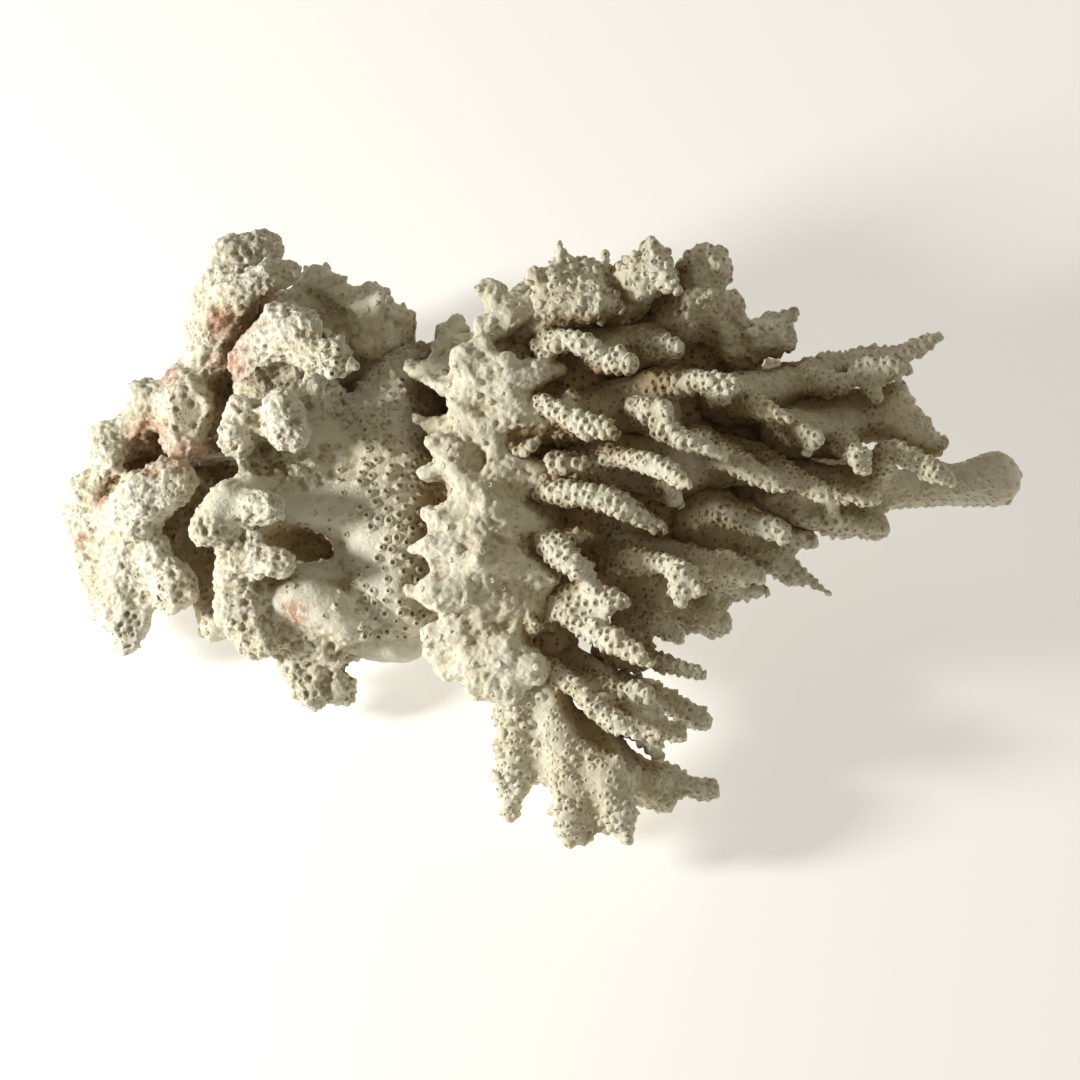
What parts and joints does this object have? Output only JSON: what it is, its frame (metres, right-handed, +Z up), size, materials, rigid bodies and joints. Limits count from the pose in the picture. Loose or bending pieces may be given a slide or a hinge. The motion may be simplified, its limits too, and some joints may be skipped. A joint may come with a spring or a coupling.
{
  "type": "branching coral",
  "caption": "Dry branching coral colony of stubby fingers on a swollen stalk, lying on a flat cut as a decorative specimen.",
  "frame": {"origin": "middle of the flat cut underneath, on the surface the coral lies on", "axes": "+X along the colony's length, from the old worn lobes towards the long finger branches; +Z up, out of the surface it lies on"},
  "size_m": [0.2427, 0.1613, 0.0783],
  "materials": {
    "skeleton": "matte, porous, cream",
    "worn_skeleton": "matte, chalky, pale cream",
    "inner_skeleton": "matte, porous, warm cream"
  },
  "bodies": {
    "root": {"base": "inner_skeleton", "stalk": "worn_skeleton", "crown": "inner_skeleton", "top_left_lobe": "worn_skeleton", "top_back_lobes": "skeleton", "upper_left_arm": "worn_skeleton", "middle_left_arm": "worn_skeleton", "broken_lobe": "skeleton", "far_left_lobe": "worn_skeleton", "centre_left_lobe": "worn_skeleton", "lower_left_lobe": "worn_skeleton", "left_back_arm": "inner_skeleton", "central_arm": "worn_skeleton", "lower_arm": "worn_skeleton", "lower_middle_arm": "worn_skeleton", "rim_top": "worn_skeleton", "rim_middle": "worn_skeleton", "rim_bottom": "worn_skeleton", "top_branch_left": "skeleton", "top_branch_middle": "skeleton", "top_branch_right": "skeleton", "upper_front_branch": "skeleton", "front_branch_high": "skeleton", "front_branch_middle": "skeleton", "right_spray": "skeleton", "right_plate": "skeleton", "right_arm": "skeleton", "lower_right_branch": "skeleton", "front_branch_low": "skeleton", "centre_branch": "skeleton", "bottom_right_branch": "skeleton", "bottom_branch": "skeleton", "back_left_lobe": "skeleton", "back_middle_branch": "skeleton", "back_right_branch": "skeleton", "back_far_right_branch": "skeleton"}
  },
  "joints": []
}
